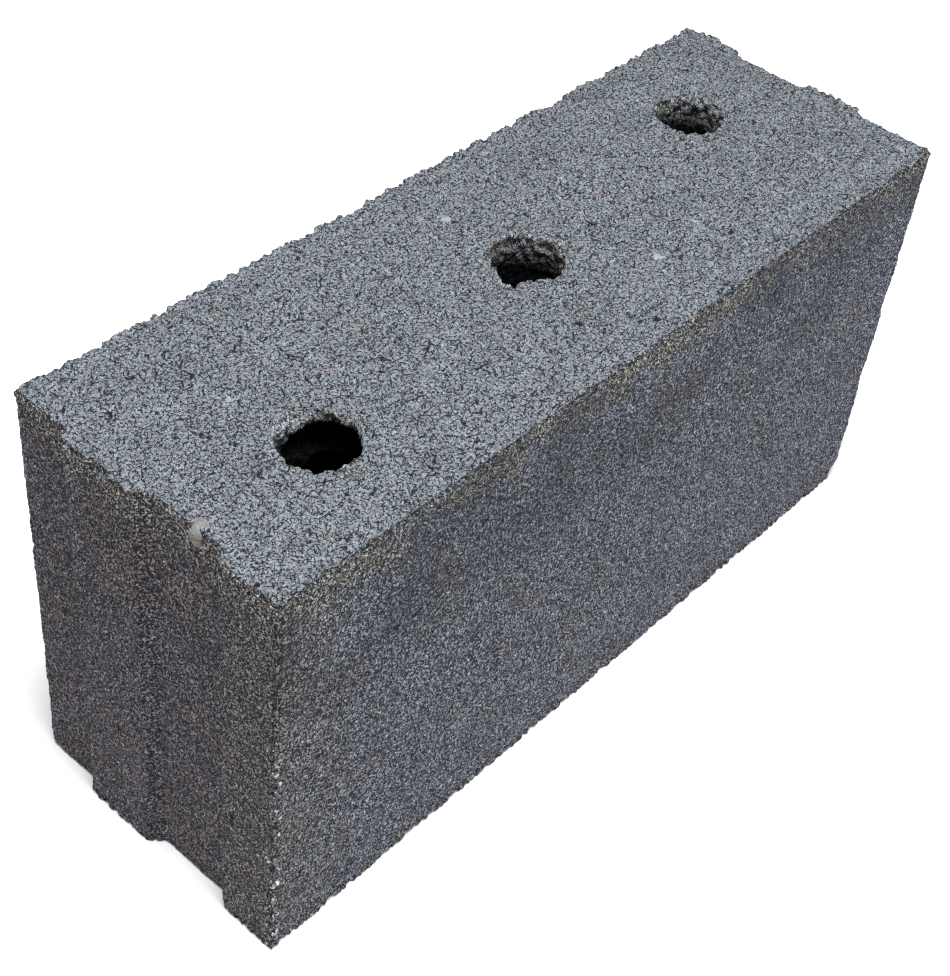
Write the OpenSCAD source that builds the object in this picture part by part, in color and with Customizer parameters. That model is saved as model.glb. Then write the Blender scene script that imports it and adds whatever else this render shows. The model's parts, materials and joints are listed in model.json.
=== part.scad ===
// Concrete wall block, cast in one piece.
// The ends carry a tongue and a groove, so blocks laid in a row key into each other.
// Three round holes run the full height, in a slanted row through the centre of the block.
// The origin is at the centre of the bottom face: +X is along the block, +Z is up.

/* [Block] */
// Length over the proud end faces
block_l = 496; // [380:1:600]
// Width, which is the thickness of the wall it builds
block_w = 170; // [140:1:300]
// Height
block_h = 240; // [100:1:300]
// Bevel that the worn outer edges have
edge_bevel = 3; // [1:0.5:5]

/* [End keys] */
// Width of the tongue at half its depth
tongue_w = 47; // [30:1:50]
// Step between the proud and the recessed end faces
key_depth = 6; // [3:0.5:10]
// How far a slanted flank runs across the end
flank_run = 6; // [3:0.5:10]
// Clearance beside each flank when two blocks are laid together
key_play = 1; // [0.5:0.5:3]

/* [Holes] */
// Diameter of each hole
hole_d = 38; // [20:1:50]
// Number of holes
hole_count = 3; // [2:1:5]
// Distance from an end of the block to the centre of its outer hole
hole_end_dist = 80; // [50:1:120]
// Distance from a long face to the centre of the outer hole nearest to it
hole_side_dist = 59; // [45:1:70]
// Bevel at each worn hole rim
rim_bevel = 3; // [1:0.5:5]

/* [Hidden] */
$fn = 96;
concrete = [0.45, 0.47, 0.49];
cut_over = 1;

// Flank centres across the left end, from the front shoulder to the back one
groove_front_y = -(tongue_w + 1.5 * key_play);
tongue_front_y = key_play / 2;
tongue_back_y = tongue_front_y + tongue_w;

proud_x = -block_l / 2;
recessed_x = proud_x + key_depth;

// Centre of the outer hole at the right end; the left one is opposite it
outer_hole = [block_l / 2 - hole_end_dist, block_w / 2 - hole_side_dist];

// The left end seen from above, front to back
left_end = [
    [proud_x, -block_w / 2 + edge_bevel],
    [proud_x, groove_front_y - flank_run / 2],
    [recessed_x, groove_front_y + flank_run / 2],
    [recessed_x, tongue_front_y - flank_run / 2],
    [proud_x, tongue_front_y + flank_run / 2],
    [proud_x, tongue_back_y - flank_run / 2],
    [recessed_x, tongue_back_y + flank_run / 2],
    [recessed_x, block_w / 2 - edge_bevel],
    [recessed_x + edge_bevel, block_w / 2]
];

// The bevelled corner between the front face and the left end
front_corner = [[proud_x + edge_bevel, -block_w / 2]];

// Half of the outline, and the other half as the same points turned half a turn
half_outline = concat(front_corner, left_end);
outline = concat(half_outline, -half_outline);

// A rectangle on the floor, centred in X, with its four corners bevelled
module bevelled_section(width, height, bevel) {
    half = width / 2;
    polygon([
        [-half + bevel, 0],
        [half - bevel, 0],
        [half, bevel],
        [half, height - bevel],
        [half - bevel, height],
        [-half + bevel, height],
        [-half, height - bevel],
        [-half, bevel]
    ]);
}

// The block without its holes: the keyed outline, with its top and bottom edges bevelled
module keyed_body() {
    intersection() {
        linear_extrude(height = block_h) polygon(outline);
        rotate([90, 0, 90])
            linear_extrude(height = block_l + 2 * cut_over, center = true)
                bevelled_section(block_w, block_h, edge_bevel);
        rotate([90, 0, 0])
            linear_extrude(height = block_w + 2 * cut_over, center = true)
                bevelled_section(block_l, block_h, edge_bevel);
    }
}

// A hole through the full height, opened out at both rims
module hole_cutter() {
    hole_r = hole_d / 2;
    translate([0, 0, -cut_over]) cylinder(h = block_h + 2 * cut_over, r = hole_r);
    for (top = [0, 1])
        translate([0, 0, top * block_h]) mirror([0, 0, top]) translate([0, 0, -cut_over])
            cylinder(
                h = rim_bevel + cut_over,
                r1 = hole_r + rim_bevel + cut_over,
                r2 = hole_r
            );
}

module block() {
    color(concrete)
        difference() {
            keyed_body();
            for (i = [0 : hole_count - 1])
                translate(outer_hole * (2 * i / (hole_count - 1) - 1)) hole_cutter();
        }
}

block();
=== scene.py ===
import json
import math
import bpy
import numpy as np
from mathutils import Matrix, Vector


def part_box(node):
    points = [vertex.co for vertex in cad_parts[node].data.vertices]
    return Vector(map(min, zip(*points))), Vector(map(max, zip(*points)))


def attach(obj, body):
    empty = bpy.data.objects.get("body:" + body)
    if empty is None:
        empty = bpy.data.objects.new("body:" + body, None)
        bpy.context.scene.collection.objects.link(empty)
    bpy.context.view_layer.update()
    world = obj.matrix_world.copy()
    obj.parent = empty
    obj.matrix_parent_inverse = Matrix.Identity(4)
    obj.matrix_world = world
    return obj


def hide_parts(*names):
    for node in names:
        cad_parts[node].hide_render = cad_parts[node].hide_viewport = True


# A dry-cast concrete wall block with keyed ends and three round holes.
# Sizes in the dictionaries are in millimetres, and the scene is in metres.

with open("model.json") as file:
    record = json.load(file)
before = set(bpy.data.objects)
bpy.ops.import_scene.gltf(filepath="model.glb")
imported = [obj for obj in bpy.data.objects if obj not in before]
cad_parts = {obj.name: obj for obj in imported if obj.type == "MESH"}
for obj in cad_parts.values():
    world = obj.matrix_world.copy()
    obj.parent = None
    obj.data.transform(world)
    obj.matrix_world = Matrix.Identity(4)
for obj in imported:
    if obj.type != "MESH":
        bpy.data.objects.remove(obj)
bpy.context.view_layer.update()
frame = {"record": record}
mm = 0.001
low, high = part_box("block")
size = high - low
centre = (low + high) / 2
holes = [mount for mount in frame["record"]["mounts"] if mount["name"].startswith("hole_")]
holeRadius = holes[0]["dims"]["r_mm"]


def deselect():
    bpy.ops.object.select_all(action="DESELECT")


def pick(piece):
    deselect()
    piece.select_set(True)
    bpy.context.view_layer.objects.active = piece


def applyModifier(piece, kind, **settings):
    pick(piece)
    bpy.ops.object.modifier_add(type=kind)
    modifier = piece.modifiers[-1]
    for name, value in settings.items():
        setattr(modifier, name, value)
    bpy.ops.object.modifier_apply(modifier=modifier.name)


def addNode(tree, kind, inputs=None, **settings):
    # A node given as an input is linked from its first output
    node = tree.nodes.new(kind)
    for name, value in settings.items():
        setattr(node, name, value)
    for key, value in (inputs or {}).items():
        if isinstance(value, bpy.types.Node):
            value = value.outputs[0]
        if isinstance(value, bpy.types.NodeSocket):
            tree.links.new(value, node.inputs[key])
        else:
            node.inputs[key].default_value = value
    return node


def linear(hexColour):
    parts = [int(hexColour[i:i + 2], 16) / 255 for i in (0, 2, 4)]
    return [c / 12.92 if c <= 0.04045 else ((c + 0.055) / 1.055) ** 2.4 for c in parts] + [1]


cameraView = dict(
    place=(-580.4, -421.3, 750.6),
    azimuth=-53.09,  # this and the next two in degrees
    elevation=42.98,
    roll=6.96,
    lens=68.15,
    clipStart=10,
)


def addCamera():
    view = cameraView
    place = Vector(view["place"]) * mm
    bpy.ops.object.camera_add(location=place)
    camera = bpy.context.object
    camera.name = "camera"
    turn = Matrix.Rotation(math.radians(view["azimuth"]), 4, "Z")
    tip = Matrix.Rotation(math.radians(90 - view["elevation"]), 4, "X")
    roll = Matrix.Rotation(math.radians(view["roll"]), 4, "Z")
    camera.matrix_world = Matrix.Translation(place) @ turn @ tip @ roll
    camera.data.lens = view["lens"]
    camera.data.sensor_fit = "HORIZONTAL"
    camera.data.clip_start = view["clipStart"] * mm
    bpy.context.scene.camera = camera


stage = dict(
    floorRadius=6000,
    floorColour="f4f4f4",
    roomColour="eef2f8",
    roomStrength=0.35,
    filterWidth=1.3,  # a narrow filter keeps single grains crisp
    # a softbox above and behind the block, and a weaker one in front of it
    softboxes=[
        dict(name="skyLight", place=(-350, -350, 2500), width=900, watts=92),
        dict(name="frontLight", place=(900, -2200, 1200), width=600, watts=14),
    ],
)


def addStage():
    deselect()
    bpy.ops.mesh.primitive_circle_add(
        vertices=96, radius=stage["floorRadius"] * mm, fill_type="NGON", location=(0, 0, low.z)
    )
    floor = bpy.context.object
    floor.name = "floor"
    # Matt paint rolled on: it has no highlight, so the floor stays even
    paint = bpy.data.materials.new("mattFloorPaint")
    paint.use_nodes = True
    painted = paint.node_tree.nodes["Principled BSDF"]
    painted.inputs["Base Color"].default_value = linear(stage["floorColour"])
    painted.inputs["Roughness"].default_value = 0.9
    floor.data.materials.append(paint)
    world = bpy.data.worlds.new("paleRoom")
    world.use_nodes = True
    room = world.node_tree.nodes["Background"]
    room.inputs["Color"].default_value = linear(stage["roomColour"])
    room.inputs["Strength"].default_value = stage["roomStrength"]
    bpy.context.scene.world = world
    for softbox in stage["softboxes"]:
        place = Vector(softbox["place"]) * mm
        bpy.ops.object.light_add(type="AREA", location=place)
        lamp = bpy.context.object
        lamp.name = softbox["name"]
        lamp.data.size = softbox["width"] * mm
        lamp.data.energy = softbox["watts"]
        lamp.rotation_euler = (centre - place).to_track_quat("-Z", "Y").to_euler()
    bpy.context.scene.view_settings.view_transform = "Standard"
    bpy.context.scene.cycles.filter_width = stage["filterWidth"]
    bpy.context.scene.cycles.denoising_prefilter = "NONE"  # so that no grain is smeared into a streak


blockShape = dict(
    grainRise=0.2,  # how far the grains may stand out of the mould faces
    bevel=0.8,
    bevelSteps=3,
    keyDepth=6,
    tongueWidth=47,
    flankRun=6,
    keyPlay=1,
    rimWear=1.2,
    holeSides=64,
    meshSize=1.12,
)


def castBlock():
    # A cube with its flank lines cut in, and the recessed strips of both ends pushed back
    shape = blockShape
    bpy.ops.mesh.primitive_cube_add(size=1, location=centre)
    block = bpy.context.object
    block.name = "block"
    block.scale = size - 2 * shape["grainRise"] * mm * Vector((1, 1, 1))
    bpy.ops.object.transform_apply(location=True, rotation=True, scale=True)
    half = shape["flankRun"] / 2
    slack = 0.1  # for rounding, when a place is compared with a flank line
    grooveFront = -(shape["tongueWidth"] + 1.5 * shape["keyPlay"])
    tongueFront = shape["keyPlay"] / 2
    tongueBack = tongueFront + shape["tongueWidth"]
    bpy.ops.object.mode_set(mode="EDIT")
    for flank in (grooveFront, tongueFront, tongueBack):
        for side in (-half, half):
            for turned in (1, -1):
                bpy.ops.mesh.select_all(action="SELECT")
                bpy.ops.mesh.bisect(plane_co=(0, turned * (flank + side) * mm, 0), plane_no=(0, 1, 0))
    for end in (-1, 1):
        bpy.ops.mesh.select_all(action="DESELECT")
        bpy.ops.object.mode_set(mode="OBJECT")
        for vertex in block.data.vertices:
            across = -end * vertex.co.y / mm
            inGroove = grooveFront < across - half + slack and across + half - slack < tongueFront
            onShoulder = across - half + slack > tongueBack
            vertex.select = vertex.co.x * end > 0 and (inGroove or onShoulder)
        bpy.ops.object.mode_set(mode="EDIT")
        bpy.ops.transform.translate(value=(-end * shape["keyDepth"] * mm, 0, 0))
    bpy.ops.object.mode_set(mode="OBJECT")
    # The limit is steeper than the flanks, so they stay sharp
    applyModifier(
        block, "BEVEL", width=shape["bevel"] * mm, segments=shape["bevelSteps"],
        limit_method="ANGLE", angle_limit=math.radians(60),
    )
    return block


def cutOut(block, cutter):
    applyModifier(block, "BOOLEAN", operation="DIFFERENCE", solver="EXACT", object=cutter)
    bpy.data.objects.remove(cutter)


def cutHoles(block):
    wear = blockShape["rimWear"] * mm
    sides = blockShape["holeSides"]
    radius = holeRadius * mm
    for hole in holes:
        x, y = hole["pos_m"][:2]
        deselect()
        bpy.ops.mesh.primitive_cylinder_add(
            vertices=sides, radius=radius, depth=2 * size.z, location=(x, y, centre.z)
        )
        cutOut(block, bpy.context.object)
        for z, lower, upper in ((high.z, 0, 2 * wear), (low.z, 2 * wear, 0)):
            deselect()
            bpy.ops.mesh.primitive_cone_add(
                vertices=sides, radius1=radius + lower, radius2=radius + upper, depth=2 * wear,
                location=(x, y, z),
            )
            cutOut(block, bpy.context.object)


chips = [
    dict(place=(248, -42, 240), size=(7, 9, 5), seed=3),  # notch beside the right tongue
    dict(place=(245, -87, -1), size=(12, 12, 14), seed=5),  # worn bottom corner
    dict(place=(243, -86, 137), size=(4, 4, 16), seed=6),  # two nicks up the edge above it
    dict(place=(243, -86, 82), size=(5, 4, 12), seed=7),
    dict(place=(-33, 86, 240), size=(8, 4, 6), seed=8),  # two nicks in the back top edge
    dict(place=(120, 86, 240), size=(14, 4, 5), seed=9),
    dict(place=(-249, -14, 240), size=(5, 13, 7), seed=10),  # and two in the left one
    dict(place=(-249, 24, 240), size=(4, 9, 6), seed=11),
    dict(place=(-166, -7.5, 241), size=(12, 5, 9), seed=12),  # crumbled lip of the left hole
    dict(place=(-21, -5, 241), size=(7, 9, 8), seed=13),  # and of the middle one
    dict(place=(-159, -28, 221), size=(26, 25, 14), seed=14),  # hollow under the left hole's lip
    dict(place=(-159, -28, 185), size=(26, 25, 40), seed=15),
]
chipUnevenness = 0.12  # as a share of a chip's least size


def breakChips(block):
    for chip in chips:
        deselect()
        bpy.ops.mesh.primitive_ico_sphere_add(subdivisions=3, radius=1)
        cutter = bpy.context.object
        cutter.scale = Vector(chip["size"]) * mm
        cutter.location = Vector(chip["place"]) * mm
        bpy.ops.object.transform_apply(location=True, rotation=True, scale=True)
        bpy.ops.object.mode_set(mode="EDIT")
        bpy.ops.mesh.select_all(action="SELECT")
        bpy.ops.transform.vertex_random(
            offset=chipUnevenness * min(chip["size"]) * mm, seed=chip["seed"]
        )
        bpy.ops.object.mode_set(mode="OBJECT")
        cutOut(block, cutter)


def meshEvenly(block):
    applyModifier(block, "REMESH", mode="VOXEL", voxel_size=blockShape["meshSize"] * mm)
    applyModifier(block, "SMOOTH", factor=0.5, iterations=2)


# Each patch of the surface and the concrete look that it takes
patchLooks = dict(
    top="top", underside="side", front="side", back="side", leftEnd="end", rightEnd="end", holeWalls="holes"
)
patchNames = list(patchLooks)
patchRules = dict(
    lean=1.3,  # how much more a spot must face sideways than endways to be on a side
    rimDepth=4,  # down to here a hole's wall reaches little beyond the hole
    rimReach=8,
    hollowReach=40,  # and deeper down it takes in all of the hollow
    ledgeDepth=6,  # below this a level spot is wall too
)


def markPatches(block):
    # Each side of the block becomes a patch of its own, and so do the hole walls
    rules = patchRules
    mesh = block.data
    normal = np.empty(len(mesh.polygons) * 3, np.float32)
    middle = np.empty(len(mesh.polygons) * 3, np.float32)
    mesh.polygons.foreach_get("normal", normal)
    mesh.polygons.foreach_get("center", middle)
    nx, ny, nz = normal.reshape(-1, 3).T
    x, y, z = middle.reshape(-1, 3).T
    patch = np.where(nx < 0, patchNames.index("leftEnd"), patchNames.index("rightEnd"))
    sideways = np.abs(ny) > rules["lean"] * np.abs(nx)
    patch = np.where(sideways & (ny < 0), patchNames.index("front"), patch)
    patch = np.where(sideways & (ny >= 0), patchNames.index("back"), patch)
    level = np.abs(nz) > np.maximum(np.abs(nx), np.abs(ny))
    patch = np.where(level & (nz > 0), patchNames.index("top"), patch)
    patch = np.where(level & (nz <= 0), patchNames.index("underside"), patch)
    depth = np.minimum(z - low.z, high.z - z)
    reach = (holeRadius + rules["rimReach"]) * mm
    reach = np.where(depth > rules["rimDepth"] * mm, rules["hollowReach"] * mm, reach)
    for hole in holes:
        fromAxis = np.hypot(x - hole["pos_m"][0], y - hole["pos_m"][1])
        inHole = (fromAxis < reach) & (~level | (depth > rules["ledgeDepth"] * mm))
        patch = np.where(inHole, patchNames.index("holeWalls"), patch)
    for name in patchNames:
        mesh.materials.append(bpy.data.materials.new(name))
    mesh.polygons.foreach_set("material_index", patch.astype(np.int32))
    mesh.update()


def fold(tree, operation, parts):
    # One value out of several: their product, their sum, or the least or greatest of them
    whole = parts[0]
    for part in parts[1:]:
        whole = addNode(tree, "ShaderNodeMath", {0: whole, 1: part}, operation=operation)
    return whole


def patchy(tree, place, spacing, floor, ceiling, span=(0.4, 0.6), detail=0.0, shift=0.0):
    # A value that drifts between a floor and a ceiling over about the given spacing
    moved = addNode(tree, "ShaderNodeVectorMath", {0: place, 1: (shift, shift, shift)}, operation="ADD")
    cloud = addNode(
        tree, "ShaderNodeTexNoise", {"Vector": moved, "Scale": 1 / (spacing * mm), "Detail": detail}
    )
    return addNode(
        tree, "ShaderNodeMapRange",
        {"Value": cloud, "From Min": span[0], "From Max": span[1], "To Min": floor, "To Max": ceiling},
        interpolation_type="SMOOTHSTEP",
    )


def swayed(tree, place, spacing, bend):
    # Bends a cell pattern, so that its cells are as uneven as grains
    wave = 1.4 * spacing * mm
    sway = addNode(tree, "ShaderNodeTexNoise", {"Vector": place, "Scale": 1 / wave, "Detail": 0})
    shift = addNode(
        tree, "ShaderNodeVectorMath", {0: sway.outputs["Color"], 1: (0.5, 0.5, 0.5)},
        operation="SUBTRACT",
    )
    return addNode(
        tree, "ShaderNodeVectorMath", {0: shift, 1: (bend * mm, bend * mm, bend * mm), 2: place},
        operation="MULTIPLY_ADD",
    )


def grainCells(tree, place, spacing, bend, feature):
    # Grains as cells: DISTANCE_TO_EDGE measures from their borders, and F1 from their centres
    return addNode(
        tree, "ShaderNodeTexVoronoi",
        {"Vector": swayed(tree, place, spacing, bend), "Scale": 1 / (spacing * mm)}, feature=feature,
    )


def distanceInPlan(tree, place, axis):
    # Level distance from an upright line
    flat = addNode(tree, "ShaderNodeVectorMath", {0: place, 1: (1, 1, 0)}, operation="MULTIPLY")
    foot = (axis[0], axis[1], 0)
    return addNode(tree, "ShaderNodeVectorMath", {0: flat, 1: foot}, operation="DISTANCE").outputs["Value"]


relief = dict(
    topGrain=3.6, topDepth=0.7,
    sideGrain=2.9, sideDepth=0.5,
    grainSway=2.0, grainDome=0.35,
    crumb=3.5, crumbSway=1.2, crumbDepth=5.5, crumbRise=1.3,
    lump=6.0, topLump=1.0, sideLump=0.4,
    wave=30, waveDepth=0.7,
    pit=5.5, pitDepth=2.4, sidePits=0.4,
    arrisZone=6.0, arrisWear=2.4, arrisStretch=9,
    holeZone=5.0, lipDepth=12, lipWear=0.7, wallWear=0.35,
    levelFrom=0.5, levelTo=0.9,  # how far up a spot must face to have the grains of the top
)


def offFaces(tree, place):
    # For each axis, how far a spot is from the nearer of the two faces of the block's box
    where = addNode(tree, "ShaderNodeSeparateXYZ", {0: place}).outputs
    off = []
    for axis, (near, far) in enumerate(zip(low, high)):
        middle = (near + far) / 2
        out = addNode(tree, "ShaderNodeMath", {0: where[axis], 1: middle}, operation="SUBTRACT")
        out = addNode(tree, "ShaderNodeMath", {0: out}, operation="ABSOLUTE")
        off.append(addNode(tree, "ShaderNodeMath", {0: far - middle, 1: out}, operation="SUBTRACT"))
    return off


def nearArris(tree, off):
    # 1 on an arris and 0 beyond its zone. The arris is as far off as the second nearest face
    pairs = [fold(tree, "MAXIMUM", [off[a], off[b]]) for a, b in ((0, 1), (1, 2), (0, 2))]
    return addNode(
        tree, "ShaderNodeMapRange",
        {"Value": fold(tree, "MINIMUM", pairs), "From Min": 0, "From Max": relief["arrisZone"] * mm,
         "To Min": 1, "To Max": 0},
        interpolation_type="SMOOTHSTEP",
    )


def nearHoles(tree, place, depth):
    # The holes' lips are as worn as the arrises, and their walls deeper down are half as rough
    wear = addNode(
        tree, "ShaderNodeMapRange",
        {"Value": depth, "From Min": relief["lipDepth"] * mm, "From Max": 2 * relief["lipDepth"] * mm,
         "To Min": relief["lipWear"], "To Max": relief["wallWear"]},
    )
    worn = []
    for hole in holes:
        near = addNode(
            tree, "ShaderNodeMapRange",
            {"Value": distanceInPlan(tree, place, hole["pos_m"]), "From Min": (holeRadius + 1) * mm,
             "From Max": (holeRadius + relief["holeZone"]) * mm, "To Min": 1, "To Max": 0},
            interpolation_type="SMOOTHSTEP",
        )
        worn.append(fold(tree, "MULTIPLY", [near, wear]))
    return worn


def roughen(block):
    # The relief is carved into the mesh: grains on the faces, and crumbs on the arrises and the rims
    tree = bpy.data.node_groups.new("castRelief", "GeometryNodeTree")
    tree.interface.new_socket("Geometry", in_out="INPUT", socket_type="NodeSocketGeometry")
    tree.interface.new_socket("Geometry", in_out="OUTPUT", socket_type="NodeSocketGeometry")
    start = addNode(tree, "NodeGroupInput")
    place = addNode(tree, "GeometryNodeInputPosition")
    normal = addNode(tree, "GeometryNodeInputNormal")
    kept = addNode(
        tree, "GeometryNodeStoreNamedAttribute", {"Geometry": start, "Name": "rest", "Value": place},
        data_type="FLOAT_VECTOR", domain="POINT",
    )
    level = addNode(
        tree, "ShaderNodeMapRange",
        {"Value": addNode(tree, "ShaderNodeSeparateXYZ", {0: normal}).outputs["Z"],
         "From Min": relief["levelFrom"], "From Max": relief["levelTo"]},
        interpolation_type="SMOOTHSTEP",
    )
    off = offFaces(tree, place)
    arris = nearArris(tree, off)
    worn = fold(tree, "MAXIMUM", [arris] + nearHoles(tree, place, off[2]))

    rises = []
    for side in ("side", "top"):
        border = grainCells(
            tree, place, relief[side + "Grain"], relief["grainSway"], "DISTANCE_TO_EDGE"
        )
        rises.append(addNode(
            tree, "ShaderNodeMapRange",
            {"Value": border, "From Min": 0, "From Max": relief["grainDome"],
             "To Min": -relief[side + "Depth"], "To Max": 0},
            interpolation_type="SMOOTHSTEP",
        ))
    faceGrains = addNode(tree, "ShaderNodeMix", {0: level, 2: rises[0], 3: rises[1]})
    crumb = grainCells(tree, place, relief["crumb"], relief["crumbSway"], "F1")
    crumbs = fold(tree, "MULTIPLY", [crumb, crumb, -relief["crumbDepth"]])
    crumbs = fold(tree, "ADD", [crumbs, relief["crumbRise"]])
    grains = addNode(tree, "ShaderNodeMix", {0: worn, 2: faceGrains, 3: crumbs})

    lumpSize = addNode(
        tree, "ShaderNodeMapRange",
        {"Value": level, "To Min": relief["sideLump"], "To Max": relief["topLump"]},
    )
    lumps = patchy(tree, place, relief["lump"], -0.5, 0.5, (0.3, 0.7), 3)
    lumps = fold(tree, "MULTIPLY", [lumps, lumpSize])
    swell = relief["waveDepth"] / 2
    waves = patchy(tree, place, relief["wave"], -swell, swell, (0.2, 0.8), 1)
    pitSize = addNode(
        tree, "ShaderNodeMapRange", {"Value": level, "To Min": relief["sidePits"], "To Max": 1}
    )
    pits = patchy(tree, place, relief["pit"], 0, -relief["pitDepth"], (0.66, 0.76), 1, shift=3.3)
    pits = fold(tree, "MULTIPLY", [pits, pitSize])
    # Some stretches of an arris are whole, and others have crumbled away
    loss = patchy(
        tree, place, relief["arrisStretch"], 0, -relief["arrisWear"], (0.5, 0.74), 3, shift=7.7
    )
    crumbled = fold(tree, "MULTIPLY", [arris, loss])
    rise = fold(tree, "ADD", [grains, lumps, waves, pits, crumbled])
    rise = fold(tree, "MULTIPLY", [rise, mm])
    offset = addNode(tree, "ShaderNodeVectorMath", {0: normal, "Scale": rise}, operation="SCALE")
    moved = addNode(tree, "GeometryNodeSetPosition", {"Geometry": kept, "Offset": offset})
    # Nothing stands outside the block's real size
    inside = addNode(tree, "GeometryNodeInputPosition")
    inside = addNode(tree, "ShaderNodeVectorMath", {0: inside, 1: high}, operation="MINIMUM")
    inside = addNode(tree, "ShaderNodeVectorMath", {0: inside, 1: low}, operation="MAXIMUM")
    flush = addNode(tree, "GeometryNodeSetPosition", {"Geometry": moved, "Position": inside})
    addNode(tree, "NodeGroupOutput", {0: flush})
    applyModifier(block, "NODES", node_group=tree)
    bpy.data.node_groups.remove(tree)


def splitPatches(block):
    pick(block)
    bpy.ops.object.mode_set(mode="EDIT")
    bpy.ops.mesh.separate(type="MATERIAL")
    bpy.ops.object.mode_set(mode="OBJECT")
    patches = {}
    for piece in list(bpy.context.selected_objects):
        name = patchNames[piece.data.polygons[0].material_index]
        if len(piece.data.materials) == 1:
            name = piece.data.materials[0].name
        piece.name = "block_" + name
        patches[name] = piece
    return patches


# In millimetres, grain, lump, crack, patchSize and gritSize space the patterns, and bump is their depth.
# The cuts widen the gaps around grains, lumps and cracks, and a lower value of open opens more cracks.
# pale and patch are the paste's two colours, and deep is painted shade in the open pores and cracks. shade
# darkens the grit's hollows with painted shade, and the others shade or tint the paste.
concreteLooks = {
    "top": dict(
        grain=1.7, grainCut=0.14, lump=5.2, lumpCut=0.05, crack=0.9, crackCut=0.1, open=0.44,
        pale="8f979f", patch="929196", patchSpan=(0.5, 0.7), patchSize=8, deep="05070c",
        tone=0.1, speck=0.22, shade=0.8, grit=0.55, gritSize=0.65, bump=1.1,
    ),
    "side": dict(
        grain=1.6, grainCut=0.23, lump=4.6, lumpCut=0.02, crack=1.0, crackCut=0.3, open=0.37,
        pale="b0b7c8", patch="b2b4be", patchSpan=(0.4, 0.65), patchSize=28, deep="060a18",
        fringe="c9c6b8", foot="aaa1a8", corner="b1afaa", cloud=0.35,
        tone=0.12, speck=0.4, shade=0.6, grit=0.45, gritSize=0.65, bump=2.0,
    ),
    # The ends' paste and pores are darker and more purple than the sides': partly their own tint and partly
    # painted shade, as the ends take less light
    "end": dict(
        grain=1.5, grainCut=0.25, lump=4.6, lumpCut=0.02, crack=0.95, crackCut=0.32, open=0.37,
        pale="a9a1b0", patch="b0a4a6", patchSpan=(0.4, 0.65), patchSize=28, deep="010105",
        fringe="dad4cd", foot="a0979f", corner="b6b0a7", cloud=0.06,
        tone=0.12, speck=0.55, shade=0.55, grit=0.35, gritSize=0.65, bump=2.0,
    ),
    "holes": dict(
        grain=1.8, grainCut=0.13, lump=5.0, lumpCut=0.03, crack=1.0, crackCut=0.13, open=0.42,
        pale="a9aeb6", patch="a8a7a3", patchSpan=(0.4, 0.6), patchSize=12, deep="0a0c12",
        # painted shade deep in the holes: between start and end below the lip, the walls' colour and
        # reflection fall to left
        paintedHoleShade=dict(start=3, end=22, left=0.03),
        tone=0.1, speck=0.3, shade=0.75, grit=0.5, gritSize=0.7, bump=1.2,
    ),
}


def closedBeyond(tree, distance, width):
    # 0 inside a gap of the given half width and 1 outside it
    core = fold(tree, "MULTIPLY", [width, 0.25])
    return addNode(
        tree, "ShaderNodeMapRange", {"Value": distance, "From Min": core, "From Max": width},
        interpolation_type="SMOOTHSTEP",
    )


def seams(tree, place, spacing, bend, cut):
    # Borders between grains, open in places and filled with paste elsewhere
    border = grainCells(tree, place, spacing, bend, "DISTANCE_TO_EDGE")
    width = patchy(tree, place, 0.9 * spacing, 0.005, cut, (0.42, 0.6), shift=1.3 * spacing)
    return closedBeyond(tree, border, width), border


def hairCracks(tree, place, spacing, cut, start):
    # Short curved cracks, where a smooth noise crosses its middle value
    crossing = patchy(tree, place, spacing, -0.5, 0.5, (0, 1), shift=5.1)
    ridge = addNode(tree, "ShaderNodeMath", {0: crossing}, operation="ABSOLUTE")
    width = patchy(tree, place, 1.4 * spacing, 0.006, cut, (start, start + 0.2), shift=2.7)
    return closedBeyond(tree, ridge, width)


# Zones of the olive tint and of the painted warm light along the arrises, and of the browner foot
tintAndLightZones = dict(
    wobble=9, wobbleSpacing=14,  # how unevenly the zones end
    corner=dict(start=50, end=20, share=0.7),  # in from the near arris
    foot=dict(start=16, end=4, share=0.7),  # up from the bottom
    fringe=dict(start=22, end=6, share=0.85),  # down from the top
)


def arrisTintAndPaintedLight(tree, place, paste, look):
    # An olive fringe below the top arrises and along the near arris, and a browner foot. The fringe and the
    # corner are partly an olive tint and partly painted warm light, where the worn arrises catch the light
    reach = tintAndLightZones["wobble"] * mm
    wobble = patchy(tree, place, tintAndLightZones["wobbleSpacing"], -reach, reach, (0.3, 0.7), 2, shift=8.8)
    height = addNode(tree, "ShaderNodeSeparateXYZ", {0: place}).outputs["Z"]
    height = fold(tree, "ADD", [height, wobble])
    nearCorner = fold(tree, "ADD", [distanceInPlan(tree, place, low), wobble])
    for name, distance, origin, turned in (
        ("corner", nearCorner, 0, 1), ("foot", height, low.z, 1), ("fringe", height, high.z, -1)
    ):
        zone = tintAndLightZones[name]
        amount = addNode(
            tree, "ShaderNodeMapRange",
            {"Value": distance, "From Min": origin + turned * zone["start"] * mm,
             "From Max": origin + turned * zone["end"] * mm, "To Max": zone["share"]},
        )
        paste = addNode(
            tree, "ShaderNodeMix", {0: amount, 6: paste, 7: linear(look[name])}, data_type="RGBA"
        ).outputs[2]
    # The crumbs that face up have the paste of the top
    facing = addNode(tree, "ShaderNodeNewGeometry").outputs["Normal"]
    upper = addNode(
        tree, "ShaderNodeMapRange",
        {"Value": addNode(tree, "ShaderNodeSeparateXYZ", {0: facing}).outputs["Z"],
         "From Min": 0.15, "From Max": 0.7},
        interpolation_type="SMOOTHSTEP",
    )
    topPaste = linear(concreteLooks["top"]["pale"])
    return addNode(tree, "ShaderNodeMix", {0: upper, 6: paste, 7: topPaste}, data_type="RGBA").outputs[2]


clouds = dict(
    start=10,  # above the middle of the side
    full=50,  # below its top
    spacing=60,
)


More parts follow.
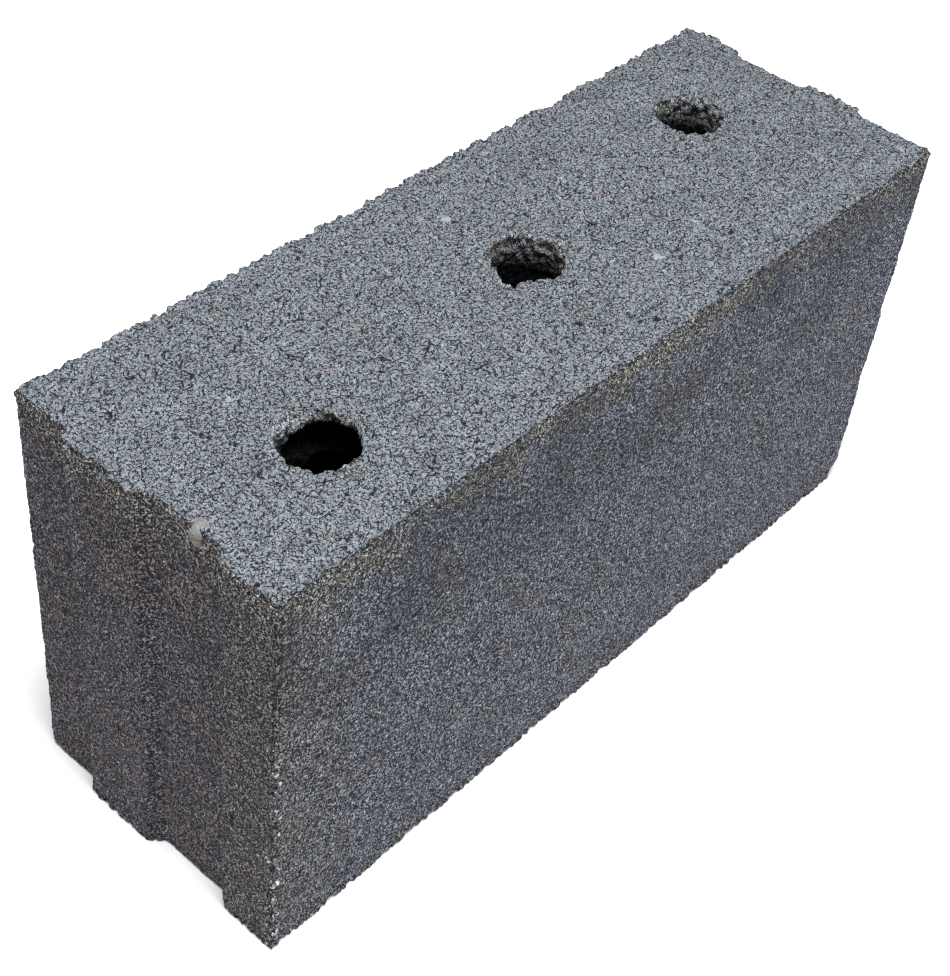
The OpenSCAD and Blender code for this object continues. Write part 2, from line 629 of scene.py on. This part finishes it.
def clouded(tree, place, depth):
    # Darker clouds on the upper half of a side, where the mix was wetter
    upper = addNode(
        tree, "ShaderNodeMapRange",
        {"Value": addNode(tree, "ShaderNodeSeparateXYZ", {0: place}).outputs["Z"],
         "From Min": centre.z + clouds["start"] * mm, "From Max": high.z - clouds["full"] * mm},
        interpolation_type="SMOOTHSTEP",
    )
    cloud = patchy(tree, place, clouds["spacing"], 0, depth, (0.42, 0.62), 2, shift=1.9)
    shade = fold(tree, "MULTIPLY", [upper, cloud])
    return addNode(tree, "ShaderNodeMath", {0: 1, 1: shade}, operation="SUBTRACT")


rubbedCorner = dict(
    reach=6,  # from the vertical arris
    reachFade=0.7,  # where the rubbing begins to fade, as a share of its reach
    top=170,
    topFade=0.6,
    grain=2.8,
    colour="ffffff",
)


def rubbed(tree, place, colour):
    # Pale mineral grains rubbed bare along the lower part of the near arris
    rub = rubbedCorner
    grain = grainCells(tree, place, rub["grain"], 1.0, "F1")
    bare = addNode(
        tree, "ShaderNodeMapRange",
        {"Value": addNode(tree, "ShaderNodeSeparateColor", {0: grain.outputs["Color"]}),
         "From Min": 0.7, "From Max": 0.75},
    )
    whole = addNode(
        tree, "ShaderNodeMapRange",
        {"Value": grain, "From Min": 0.3, "From Max": 0.45, "To Min": 1, "To Max": 0},
    )
    height = addNode(tree, "ShaderNodeSeparateXYZ", {0: place}).outputs["Z"]
    amount = [bare, whole]
    for distance, limit, fade in (
        (distanceInPlan(tree, place, low), rub["reach"] * mm, rub["reachFade"]),
        (height, rub["top"] * mm, rub["topFade"]),
    ):
        amount.append(addNode(
            tree, "ShaderNodeMapRange",
            {"Value": distance, "From Min": fade * limit, "From Max": limit, "To Min": 1, "To Max": 0},
        ))
    amount = fold(tree, "MULTIPLY", amount)
    return addNode(
        tree, "ShaderNodeMix", {0: amount, 6: colour, 7: linear(rub["colour"])}, data_type="RGBA"
    ).outputs[2]


def paintHoleShade(tree, place, paintedHoleShade):
    # Painted shade: how much light is left on a hole's wall, whose colour and reflection grow dark below
    # the lip
    height = addNode(tree, "ShaderNodeSeparateXYZ", {0: place}).outputs["Z"]
    out = addNode(tree, "ShaderNodeMath", {0: height, 1: centre.z}, operation="SUBTRACT")
    out = addNode(tree, "ShaderNodeMath", {0: out}, operation="ABSOLUTE")
    half = size.z / 2
    return addNode(
        tree, "ShaderNodeMapRange",
        {"Value": out, "From Min": half - paintedHoleShade["end"] * mm, "From Max": half - paintedHoleShade["start"] * mm,
         "To Min": paintedHoleShade["left"], "To Max": 1},
        interpolation_type="SMOOTHSTEP",
    )


def dryCastConcrete(name, look):
    # Dry-cast concrete: rounded sand grains in grey cement paste, pressed and not poured, so the
    # pores between them stay open and it looks dull and rough
    material = bpy.data.materials.new(name)
    material.use_nodes = True
    tree = material.node_tree
    tree.nodes.clear()
    place = addNode(tree, "ShaderNodeAttribute", attribute_name="rest").outputs["Vector"]
    grainGap, border = seams(tree, place, look["grain"], 1.3, look["grainCut"])
    lumpGap = seams(tree, place, look["lump"], 3.5, look["lumpCut"])[0]
    crack = hairCracks(tree, place, look["crack"], look["crackCut"], look["open"])
    closed = fold(tree, "MULTIPLY", [grainGap, lumpGap, crack])
    dome = addNode(
        tree, "ShaderNodeMapRange",
        {"Value": border, "From Min": 0, "From Max": 0.35, "To Min": 0.75, "To Max": 1},
        interpolation_type="SMOOTHSTEP",
    )
    grit = patchy(tree, place, look["gritSize"], look["grit"], 1, (0.33, 0.6), 1)
    height = fold(tree, "MULTIPLY", [grainGap, crack, dome, grit])

    patch = patchy(tree, place, look["patchSize"], 0, 1, look["patchSpan"], 2, shift=6.2)
    paste = addNode(
        tree, "ShaderNodeMix", {0: patch, 6: linear(look["pale"]), 7: linear(look["patch"])},
        data_type="RGBA",
    ).outputs[2]
    # Shades from the widest drift to single specks, and painted shade in the grit's own hollows
    tone = look["tone"]
    speck = look["speck"]
    shades = [
        patchy(tree, place, 22, 0.93, 1.07, (0.3, 0.7), 2, shift=4.1),
        patchy(tree, place, 2.8, 1 - tone, 1 + tone, (0.35, 0.65), 1, shift=7.4),
        patchy(tree, place, 1.1, 1 - speck, 1 + speck, (0.3, 0.7), 1, shift=9.1),
        addNode(
            tree, "ShaderNodeMapRange",
            {"Value": grit, "From Min": look["grit"], "To Min": look["shade"]},
        ),
    ]
    sheen = 0.5  # the usual share of reflected light
    if "fringe" in look:
        paste = arrisTintAndPaintedLight(tree, place, paste, look)
        shades.append(clouded(tree, place, look["cloud"]))
    # Painted shade in the holes: the wall's colour and its reflection are darkened below the lip
    if "paintedHoleShade" in look:
        left = paintHoleShade(tree, place, look["paintedHoleShade"])
        shades.append(left)
        sheen = fold(tree, "MULTIPLY", [left, sheen])
    shade = fold(tree, "MULTIPLY", shades)
    lit = addNode(tree, "ShaderNodeVectorMath", {0: paste, "Scale": shade}, operation="SCALE")
    # Painted shade: the open gaps between grains and lumps and the open cracks take the near-black colour
    # deep
    colour = addNode(
        tree, "ShaderNodeMix", {0: closed, 6: linear(look["deep"]), 7: lit}, data_type="RGBA"
    ).outputs[2]
    if "fringe" in look:
        colour = rubbed(tree, place, colour)
    bump = addNode(
        tree, "ShaderNodeBump", {"Strength": 1.0, "Distance": look["bump"] * mm, "Height": height}
    )
    shader = addNode(
        tree, "ShaderNodeBsdfPrincipled",
        {"Base Color": colour, "Roughness": 0.93, "IOR": 1.5, "Specular IOR Level": sheen,
         "Normal": bump},
    )
    addNode(tree, "ShaderNodeOutputMaterial", {0: shader})
    return material


pebbles = [
    dict(place=(-238.5, -30, 236), size=(5.5, 5, 4.5), colour="75716a"),  # the large one in the left arris
    dict(place=(-240, -30.5, 232.5), size=(4, 4, 3.5), colour="7c6c5b"),
    dict(place=(-180, 20, 237), size=(5, 4, 3), colour="8f959c"),
    dict(place=(-7, 48, 237), size=(5, 4, 3), colour="8f9499"),
    dict(place=(49, -43, 237), size=(4, 4, 3), colour="959ba2"),
    dict(place=(87, -38, 237), size=(5, 4, 3), colour="92989f"),
    dict(place=(-111, -44, 237), size=(5.5, 4.5, 3), colour="4c5158"),
    dict(place=(229, -72, 237), size=(3, 3, 3), colour="8d806e"),
    dict(place=(237, -17, 237), size=(6, 5, 3), colour="6f665d"),
]
pebbleUnevenness = 0.3  # as a share of a pebble's least size
pebbleLook = dict(
    vein=2.4,
    dust=1.3,
    dustColour="7f848a",
    dustDepth=0.5,
)


def riverPebble(name, colour):
    # Water-worn river pebble: tumbled, so it is smooth and matt, with faint veins and a trace of
    # cement paste in its hollows
    material = bpy.data.materials.new(name)
    material.use_nodes = True
    tree = material.node_tree
    tree.nodes.clear()
    look = pebbleLook
    place = addNode(tree, "ShaderNodeTexCoord").outputs["Object"]
    vein = patchy(tree, place, look["vein"], 0.82, 1.1, (0.3, 0.7), 3)
    dust = patchy(tree, place, look["dust"], 0, 0.7, (0.45, 0.6), 2, shift=2.2)
    stone = addNode(
        tree, "ShaderNodeVectorMath", {0: linear(colour)[:3], "Scale": vein}, operation="SCALE"
    )
    dusty = addNode(
        tree, "ShaderNodeMix", {0: dust, 6: stone, 7: linear(look["dustColour"])}, data_type="RGBA"
    ).outputs[2]
    bump = addNode(
        tree, "ShaderNodeBump", {"Strength": 0.6, "Distance": look["dustDepth"] * mm, "Height": dust}
    )
    shader = addNode(
        tree, "ShaderNodeBsdfPrincipled",
        {"Base Color": dusty, "Roughness": 0.75, "IOR": 1.54, "Normal": bump},
    )
    addNode(tree, "ShaderNodeOutputMaterial", {0: shader})
    return material


def addPebbles():
    for number, pebble in enumerate(pebbles, 1):
        deselect()
        bpy.ops.mesh.primitive_ico_sphere_add(subdivisions=2, radius=1)
        stone = bpy.context.object
        stone.name = f"pebble_{number}"
        stone.scale = Vector(pebble["size"]) * mm
        stone.location = Vector(pebble["place"]) * mm
        bpy.ops.object.transform_apply(location=True, rotation=True, scale=True)
        bpy.ops.object.mode_set(mode="EDIT")
        bpy.ops.mesh.select_all(action="SELECT")
        bpy.ops.transform.vertex_random(
            offset=pebbleUnevenness * min(pebble["size"]) * mm, seed=number
        )
        bpy.ops.object.mode_set(mode="OBJECT")
        applyModifier(stone, "SUBSURF", levels=2, render_levels=2)
        finishPiece(stone, riverPebble(f"riverPebble_{number}", pebble["colour"]))


# The two box axes that each flat patch is laid out on
flatAxes = dict(top=[0, 1], underside=[0, 1], front=[0, 2], back=[0, 2], leftEnd=[1, 2], rightEnd=[1, 2])
mapMargin = 0.01
wallMargin = 0.04  # on each side of one hole's unrolled wall


def unrolledWalls(mesh, points, rises):
    # The holes' walls side by side, each unrolled around its hole's axis
    axes = np.array([hole["pos_m"][:2] for hole in holes])
    sides = np.empty(len(mesh.polygons), np.int32)
    mesh.polygons.foreach_get("loop_total", sides)
    faceOf = np.repeat(np.arange(len(sides)), sides)
    starts = np.concatenate([[0], np.cumsum(sides)[:-1]])
    nearest = np.argmin(np.hypot(*(points[:, None, :2] - axes[None]).transpose(2, 0, 1)), axis=1)
    out = points[:, :2] - axes[nearest]
    turn = np.arctan2(out[:, 1], out[:, 0]) / (2 * np.pi) + 0.5
    # A face across the seam keeps all its corners on the side of its first one
    first = turn[starts][faceOf]
    turn = np.where(turn - first > 0.5, turn - 1, np.where(first - turn > 0.5, turn + 1, turn))
    across = nearest + wallMargin + (1 - 2 * wallMargin) * turn
    return np.stack([across / len(axes), rises], axis=1)


def addBakeMap(piece, name):
    # One flat map for each patch, in the plane of its face
    mesh = piece.data
    rest = np.empty(len(mesh.vertices) * 3, np.float32)
    mesh.attributes["rest"].data.foreach_get("vector", rest)
    corners = np.empty(len(mesh.loops), np.int32)
    mesh.loops.foreach_get("vertex_index", corners)
    points = rest.reshape(-1, 3)[corners]
    share = (points - np.array(low)) / np.array(size)
    if name in flatAxes:
        flat = share[:, flatAxes[name]]
    else:
        flat = unrolledWalls(mesh, points, share[:, 2])
    flat = np.clip(mapMargin + (1 - 2 * mapMargin) * flat, 0, 1)
    bakeMap = mesh.uv_layers.new(name="OFBake")
    bakeMap.data.foreach_set("uv", flat.astype(np.float32).ravel())


def finishPiece(piece, material):
    mesh = piece.data
    mesh.materials.clear()
    mesh.materials.append(material)
    mesh.polygons.foreach_set("material_index", np.zeros(len(mesh.polygons), np.int32))
    pick(piece)
    bpy.ops.object.shade_smooth()
    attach(piece, "root")
    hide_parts("block")
    print(piece.name, sum(len(face.vertices) - 2 for face in mesh.polygons), "triangles")


addCamera()
addStage()
print("camera and stage set")
block = castBlock()
cutHoles(block)
breakChips(block)
print("block cast")
meshEvenly(block)
markPatches(block)
roughen(block)
print("surface roughened")
concretes = {key: dryCastConcrete("dryCastConcrete_" + key, look) for key, look in concreteLooks.items()}
for name, piece in splitPatches(block).items():
    addBakeMap(piece, name)
    finishPiece(piece, concretes[patchLooks[name]])
print("patches finished")
addPebbles()
print("pebbles set")
